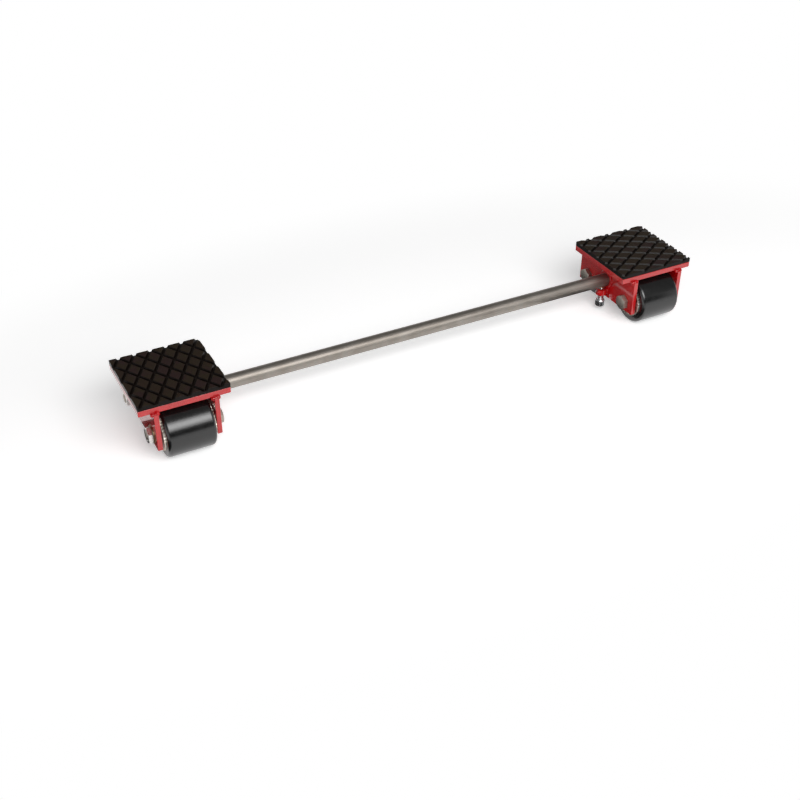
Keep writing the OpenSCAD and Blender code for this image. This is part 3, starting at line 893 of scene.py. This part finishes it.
tree, given = start_tree(
    "weld bead", {"Drop Radius": "Float", "Drop Step": "Float", "Voxel": "Float", "Seed": "Int"}
)
path = add_node(tree, "GeometryNodeMeshToCurve", {"Mesh": given["Geometry"]})
spots = add_node(
    tree, "GeometryNodeResampleCurve", {"Curve": path, "Length": given["Drop Step"]}, mode="LENGTH"
)
drop = add_node(tree, "GeometryNodeMeshIcoSphere", {"Radius": given["Drop Radius"], "Subdivisions": 3})
size_mix = add_node(
    tree, "FunctionNodeRandomValue", {"Min": DROP_LEAST, "Max": DROP_MOST, "Seed": given["Seed"]},
    data_type="FLOAT_VECTOR",
)
drops = add_node(
    tree, "GeometryNodeInstanceOnPoints", {"Points": spots, "Instance": drop, "Scale": size_mix}
)
solid_drops = add_node(tree, "GeometryNodeRealizeInstances", {"Geometry": drops})
melt = add_node(
    tree, "GeometryNodeMeshToVolume",
    {"Mesh": solid_drops, "Voxel Size": given["Voxel"], "Interior Band Width": FILLED_BAND * MM},
    resolution_mode="VOXEL_SIZE",
)
skin = add_node(
    tree, "GeometryNodeVolumeToMesh",
    {"Volume": melt, "Voxel Size": given["Voxel"], "Threshold": SKIN_LEVEL}, resolution_mode="VOXEL_SIZE",
)
weld_tree = end_tree(tree, given, skin)

# %% [markdown]
# The paths are the seams under the top plate's overhang, short stubs round its corners, the ring round
# the sleeve, and the two tacks that hold the clamp nut. Each kind has its own radius of the drops, and
# its own step from drop to drop.

# %% Weld paths
SIDE_OUT = 53.0
PLATE_UNDER = 92.0
SEAM_HALF = 74.0
STUB = ((45.5, 75.8, 90.6), (49.0, 76.4, 89.4), (52.8, 75.8, 90.4))
CIRCLE_STEPS = 36
CIRCLE_OUT = 0.4
CIRCLE_WIDER = 0.2
TACK_SIDE = 6.9
TACK_IN = 2.8
DROPS = {"seam": (3.1, 1.9), "stub": (5.4, 2.6), "circle": (2.1, 1.5), "tack": (2.8, 1.7)}

bar_level = bar_middle.z / MM
sleeve_radius = middle_and_size("left_guide_sleeve")[1].z / 2 / MM
nut_low, nut_high = [corner.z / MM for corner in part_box("left_clamp_nut")]
print("clamp nut from", round(nut_low, 1), "to", round(nut_high, 1), "mm above the floor")

weld_paths = []
for end in (-1, 1):
    weld_paths.append(("seam", [(end * SIDE_OUT, y, PLATE_UNDER) for y in (-SEAM_HALF, SEAM_HALF)]))
    for front in (-1, 1):
        weld_paths.append(("stub", [(end * x, front * y, z) for x, y, z in STUB]))
    reach = sleeve_radius + CIRCLE_WIDER
    turns = [math.radians(360 / CIRCLE_STEPS * step) for step in range(CIRCLE_STEPS)]
    out = end * (SIDE_OUT + CIRCLE_OUT)
    circle = [(out, reach * math.cos(turn), bar_level + reach * math.sin(turn)) for turn in turns]
    weld_paths.append(("circle", circle))
for end in (-1, 1):
    levels = (nut_low + TACK_IN, nut_high - TACK_IN)
    weld_paths.append(("tack", [(-SIDE_OUT, end * TACK_SIDE, level) for level in levels]))
print("weld paths:", len(weld_paths))

# %% Grow the weld beads
VOXEL = 0.4
FIRST_SEED = 20


def path_mesh(points, ring):
    """A chain of edges through points in mm, closed if it is a ring."""
    mesh = bpy.data.meshes.new("path")
    edges = [(number, number + 1) for number in range(len(points) - 1)]
    if ring:
        edges.append((len(points) - 1, 0))
    mesh.from_pydata([[v * MM for v in point] for point in points], edges, [])
    return mesh


for side in SIDES:
    carriage_x = middle_and_size(side + "_top_plate")[0].x
    to_carriage = Matrix.Translation((carriage_x, 0, 0)) @ turned_half(side)
    grown = []
    for number, (kind, points) in enumerate(weld_paths):
        radius, step = DROPS[kind]
        bead = grow(weld_tree, "painted_weld", {
            "Drop Radius": radius * MM, "Drop Step": step * MM, "Voxel": VOXEL * MM,
            "Seed": number + FIRST_SEED,
        }, path_mesh(points, kind == "circle"))
        grown.append((bead, to_carriage))
    dress(side + "_weld_drops", grown, [side + "_weld_beads"])

# %% [markdown]
# ## Hexagons and threads
# A nut or a bolt head is turned first, with a chamfer of 30 degrees, and its flats are milled after that.
# Geometry Nodes do the same: they keep what a turned blank and a hexagonal prism share, and the chamfer
# leaves its bows on the flats. Asked to cut inside, the tree takes the prism out of the blank instead,
# which makes the key socket. A blank stays a thousandth of a millimetre clear of the prism's corners,
# because a Boolean works best where no two edges fall together.

# %% Hexagon tree
CORNERS_BY_FLATS = math.sqrt(3)
CLEAR = 0.001

tree, given = start_tree(
    "milled hexagon", {"Across Flats": "Float", "Depth": "Float", "Inside": "Bool", "Turn": "Float"}
)
to_corner = add_node(
    tree, "ShaderNodeMath", {0: given["Across Flats"], 1: CORNERS_BY_FLATS}, operation="DIVIDE"
)
prism = add_node(
    tree, "GeometryNodeMeshCylinder", {"Vertices": 6, "Radius": to_corner, "Depth": given["Depth"]}
)
spin = add_node(tree, "ShaderNodeCombineXYZ", {"Y": math.pi / 2, "X": given["Turn"]})
laid = add_node(tree, "GeometryNodeTransform", {"Geometry": prism, "Rotation": spin})
outside = add_node(
    tree, "GeometryNodeMeshBoolean", {"Mesh 2": [given["Geometry"], laid]},
    operation="INTERSECT", solver="EXACT",
)
inside = add_node(
    tree, "GeometryNodeMeshBoolean", {"Mesh 1": given["Geometry"], "Mesh 2": laid},
    operation="DIFFERENCE", solver="EXACT",
)
chosen = add_node(
    tree, "GeometryNodeSwitch", {"Switch": given["Inside"], "False": outside, "True": inside},
    input_type="GEOMETRY",
)
hexagon_tree = end_tree(tree, given, chosen)

# %% Turn and mill a nut
def mill(blank, slot, flats, depth, inside=False, turn=0):
    """Mills a hexagon on a turned blank, or into it, with its flats turned by an angle in degrees."""
    return grow(hexagon_tree, slot, {
        "Across Flats": flats * MM, "Depth": depth * MM, "Inside": inside, "Turn": math.radians(turn),
    }, blank)


def hexagon_sizes(flats):
    """A hexagon's radius at its corners, and how tall the chamfer is that ends at its flats."""
    corner = flats / CORNERS_BY_FLATS
    return corner, (corner - flats / 2) * math.tan(math.radians(30))


def turned_nut(flats, tall, bore, ease, mouth):
    """The blank of a nut. Its faces keep an ease inside the flats, and its bore has a mouth at the top."""
    corner, chamfer = hexagon_sizes(flats)
    return lathe([
        (0, bore), (0, flats / 2 - ease), (chamfer, corner + CLEAR), (tall - chamfer, corner + CLEAR),
        (tall, flats / 2 - ease), (tall, bore + mouth), (tall - mouth, bore),
    ])


# %% [markdown]
# A thread is a ridge that climbs round its shank, one pitch higher with each turn. A spiral carries a
# diamond profile, whose inner half is sunk into the shank and whose outer half is the ridge. The spiral's
# normals are set to Z up, so that the profile always points away from the axis. Its last quarter turns
# run out to nothing, as a cut thread does.

# %% Thread tree
RUN_OUT_TURNS = 0.25
RUN_OUT_LEAST = 0.05

tree, given = start_tree(
    "thread ridge", {"Root Radius": "Float", "Pitch": "Float", "Turns": "Float", "Ridge": "Float"}
)
climb = add_node(tree, "ShaderNodeMath", {0: given["Pitch"], 1: given["Turns"]}, operation="MULTIPLY")
spiral = add_node(
    tree, "GeometryNodeCurveSpiral",
    {"Resolution": 40, "Rotations": given["Turns"], "Start Radius": given["Root Radius"],
     "End Radius": given["Root Radius"], "Height": climb},
)
upright = add_node(tree, "GeometryNodeSetCurveNormal", {"Curve": spiral}, mode="Z_UP")
along = add_node(tree, "GeometryNodeSplineParameter")
centred = add_node(tree, "ShaderNodeMath", {0: along, 1: 0.5}, operation="SUBTRACT")
apart = add_node(tree, "ShaderNodeMath", {0: centred}, operation="ABSOLUTE")
to_end = add_node(tree, "ShaderNodeMath", {0: 0.5, 1: apart}, operation="SUBTRACT")
turns_to_end = add_node(tree, "ShaderNodeMath", {0: to_end, 1: given["Turns"]}, operation="MULTIPLY")
run_out = add_node(
    tree, "ShaderNodeMapRange", {"Value": turns_to_end, "From Max": RUN_OUT_TURNS, "To Min": RUN_OUT_LEAST}
)
wide = add_node(tree, "ShaderNodeMath", {0: given["Ridge"], 1: 2.0}, operation="MULTIPLY")
half_pitch = add_node(tree, "ShaderNodeMath", {0: given["Pitch"], 1: 0.5}, operation="MULTIPLY")
profile = add_node(
    tree, "GeometryNodeCurvePrimitiveQuadrilateral",
    {"Width": wide, "Bottom Height": half_pitch, "Top Height": half_pitch}, mode="KITE",
)
ridge = add_node(
    tree, "GeometryNodeCurveToMesh",
    {"Curve": upright, "Profile Curve": profile, "Scale": run_out, "Fill Caps": True},
)
thread_tree = end_tree(tree, given, ridge)


def thread(slot, radius, pitch, depth, turns):
    """The ridge of a thread on a screw of the given outer radius. It stays just inside that radius."""
    return grow(thread_tree, slot, {
        "Root Radius": (radius - depth) * MM, "Pitch": pitch * MM, "Turns": turns,
        "Ridge": (depth - 0.02) * MM,
    })


# %% [markdown]
# ## Axle bolts, washers and nuts
# The axles are M16 bolts. The head is on the inner side, the washer and the nut on the outer one. Only a
# millimetre of thread stands out of the nut, but it catches the light in the photograph.

# %% Shapes of bolt, washer and nut
FLATS = 24.0
HEAD_HEIGHT = 8.5
NUT_HEIGHT = 8.0
BOLT_RADIUS = 8.0
THREAD_DEPTH = 1.15
THREAD_PITCH = 2.0
THREAD_LENGTH = 13.0
THREAD_TURNS = 5.8
RIDGE_START = 0.6
WASHER_OUTER = 15.0
WASHER_THICK = 1.5
BOLT_EASE = 0.4
PRISM_LENGTH = 40

corner, chamfer = hexagon_sizes(FLATS)
head = mill(lathe([
    (0, 0), (0, corner + 1), (-HEAD_HEIGHT + chamfer, corner + CLEAR),
    (-HEAD_HEIGHT, FLATS / 2 - BOLT_EASE), (-HEAD_HEIGHT, 0),
]), "bolt_steel", FLATS, PRISM_LENGTH)
nut = mill(turned_nut(FLATS, NUT_HEIGHT, BOLT_RADIUS + 0.1, BOLT_EASE, 0.8), "nut_zinc", FLATS, PRISM_LENGTH)
bolt_end = 2 * SIDE_OUT + WASHER_THICK + NUT_HEIGHT + 1.0
thread_start = bolt_end - THREAD_LENGTH
root = BOLT_RADIUS - THREAD_DEPTH
shank = lathe([
    (-0.5, 0), (-0.5, BOLT_RADIUS), (thread_start - 1.5, BOLT_RADIUS), (thread_start, root),
    (bolt_end - 0.6, root), (bolt_end, root - 0.6), (bolt_end, 0),
])
ridge = thread("bolt_steel", BOLT_RADIUS, THREAD_PITCH, THREAD_DEPTH, THREAD_TURNS)
washer = turned_ring(0, WASHER_THICK, BOLT_RADIUS + 0.4, WASHER_OUTER)
print("bolt length under the head in mm:", bolt_end)

# %% Axle bolts, washers and nuts
along_x = Matrix.Rotation(math.pi / 2, 4, "Y")

for side in SIDES:
    for row in ROWS:
        name = side + "_" + row + "_axle_"
        place = on_node(name + "bolt", side, centred=True)
        under_head = place @ shift(-SIDE_OUT)
        in_thread = under_head @ shift(thread_start + RIDGE_START) @ along_x
        bolt = [(head, under_head), (shank, under_head), (ridge, in_thread)]
        dress(name + "bolt_m16", bolt, [name + "bolt"], bevel=0.25)
        dress(name + "washer_turned", [(washer, place @ shift(SIDE_OUT))], [name + "washer"], bevel=0.3)
        dress(name + "nut_m16", [(nut, place @ shift(SIDE_OUT + WASHER_THICK))], [name + "nut"], bevel=0.25)

# %% [markdown]
# ## Rollers
# The tread is a thick cast ring whose ends are rounded by 6 mm. Its outline is turned with a quarter
# circle at each end. Over the bearings sit toothed discs of thin sheet. Their teeth, and the knurling of
# the clamp screw further down, come from one tree that sets sharp ridges round a ring.

# %% Ridge ring tree
tree, given = start_tree(
    "ridge ring", {"Count": "Int", "Radius": "Float", "Ridge": "Float", "Width": "Float", "Length": "Float"}
)
ring = add_node(tree, "GeometryNodeMeshCircle", {"Vertices": given["Count"], "Radius": given["Radius"]})
wedge = add_node(tree, "GeometryNodeMeshCylinder", {"Vertices": 4, "Radius": 1.0, "Depth": 1.0})
scale = add_node(
    tree, "ShaderNodeCombineXYZ", {"X": given["Ridge"], "Y": given["Width"], "Z": given["Length"]}
)
position = add_node(tree, "GeometryNodeInputPosition")
outward = add_node(
    tree, "FunctionNodeAlignRotationToVector", {"Vector": position}, axis="X", pivot_axis="Z"
)
around = add_node(
    tree, "GeometryNodeInstanceOnPoints",
    {"Points": ring, "Instance": wedge, "Rotation": outward, "Scale": scale},
)
ridge_tree = end_tree(tree, given, around)


def ridge_ring(slot, count, radius, ridge, length):
    """Ridges side by side round a ring, with their sizes in mm."""
    return grow(ridge_tree, slot, {
        "Count": count, "Radius": radius * MM, "Ridge": ridge * MM, "Width": math.pi * radius / count * MM,
        "Length": length * MM,
    })


# %% Treads and covers
TREAD_BORE = 30.05
TREAD_ROUND = 6.0
COVER_THICK = 3.0
COVER_RADIUS = 30.2
COVER_EYE = 11.0
COVER_MIDDLE = 41.5
TOOTH_DEPTH = 1.6
TOOTH_COUNT = 36

tread_size = middle_and_size("left_front_roller_tread")[1]
tread_half = tread_size.x / 2 / MM
tread_radius = tread_size.z / 2 / MM
flank = tread_half - TREAD_ROUND
rim = tread_radius - TREAD_ROUND
tread = lathe([
    (-tread_half, TREAD_BORE), (tread_half, TREAD_BORE), *arc(flank, rim, TREAD_ROUND, 0, 90),
    (0, tread_radius), *arc(-flank, rim, TREAD_ROUND, 90, 180),
], 160)
root = COVER_RADIUS - TOOTH_DEPTH
teeth = ridge_ring("cover_zinc", TOOTH_COUNT, root, TOOTH_DEPTH, COVER_THICK)
disc = turned_ring(-COVER_THICK / 2, COVER_THICK / 2, COVER_EYE, root)

for side in SIDES:
    for row in ROWS:
        name = side + "_" + row + "_roller_"
        place = on_node(name + "tread", side)
        dress(name + "tread_cast", [(tread, place)], [name + "tread"], bevel=0.3)
        ends = [place @ shift(x) for x in (-COVER_MIDDLE, COVER_MIDDLE)]
        discs = [(mesh, end @ turn) for end in ends for mesh, turn in ((disc, home), (teeth, along_x))]
        dress(name + "toothed_covers", discs, [name + "end_covers"], bevel=0.2)

# %% [markdown]
# ## The clamp
# Under the bar, on the inner side, a nut is welded to the side plate. A knurled M12 socket screw goes up
# through it and presses a brass pad against the bar. The screw is plated bright, and its fine vertical
# knurling breaks the light into streaks. The nut and the screw are drawn along X and then stood up.

# %% Shapes of clamp nut and screw
SCREW_RADIUS = 6.0
SCREW_PITCH = 1.75
SCREW_DEPTH = 1.0
CLAMP_FLATS = 19.0
CAP_RADIUS = 9.0
CAP_HEIGHT = 12.0
KEY_FLATS = 10.0
KEY_DEPTH = 6.0
KNURLS = 72
KNURL_DEPTH = 0.3
KNURL_LENGTH = 9.6
THREAD_FOOT = 13.8
UNTHREADED = 15.0

nut_tall = nut_high - nut_low
clamp_blank = turned_nut(CLAMP_FLATS, nut_tall, SCREW_RADIUS + 0.1, 0.3, 0.7)
clamp_nut = mill(clamp_blank, "red_paint", CLAMP_FLATS, 60, turn=30)
print("clamp nut:", round(nut_tall, 1), "mm tall")


def socket_screw(tall):
    """The body of a cap screw that stands on its head, with a socket for the key."""
    root = SCREW_RADIUS - SCREW_DEPTH
    blank = lathe([
        (0, 0), (0, CAP_RADIUS - 1.4), (1.0, CAP_RADIUS - 0.35), (CAP_HEIGHT - 1.0, CAP_RADIUS - 0.35),
        (CAP_HEIGHT, CAP_RADIUS - 1.2), (CAP_HEIGHT, SCREW_RADIUS), (CAP_HEIGHT + 1.0, SCREW_RADIUS),
        (CAP_HEIGHT + 2.0, root), (tall - 1.0, root), (tall, root - 0.8), (tall, 0),
    ])
    return mill(blank, "clamp_screw_zinc", KEY_FLATS, 2 * KEY_DEPTH, inside=True)


# %% Clamp nuts and screws
stand_up = Matrix.Rotation(-math.pi / 2, 4, "Y")

for side in SIDES:
    low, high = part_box(side + "_clamp_nut")
    middle = (low + high) / 2
    foot = Matrix.Translation((middle.x, middle.y, low.z)) @ turned_half(side) @ stand_up
    dress(side + "_clamp_nut_welded", [(clamp_nut, foot)], [side + "_clamp_nut"], bevel=0.4)

    low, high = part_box(side + "_clamp_screw")
    tall = (high.z - low.z) / MM
    body = socket_screw(tall)
    knurls = ridge_ring("clamp_screw_zinc", KNURLS, CAP_RADIUS - 0.4, KNURL_DEPTH, KNURL_LENGTH)
    turns = (tall - UNTHREADED) / SCREW_PITCH
    ridge = thread("clamp_screw_zinc", SCREW_RADIUS, SCREW_PITCH, SCREW_DEPTH, turns)
    foot = Matrix.Translation((middle.x, middle.y, low.z))
    screw = [
        (body, foot @ stand_up), (knurls, foot @ shift(z=CAP_HEIGHT / 2)),
        (ridge, foot @ shift(z=THREAD_FOOT)),
    ]
    dress(side + "_knurled_screw", screw, [side + "_clamp_screw"], bevel=0.15)
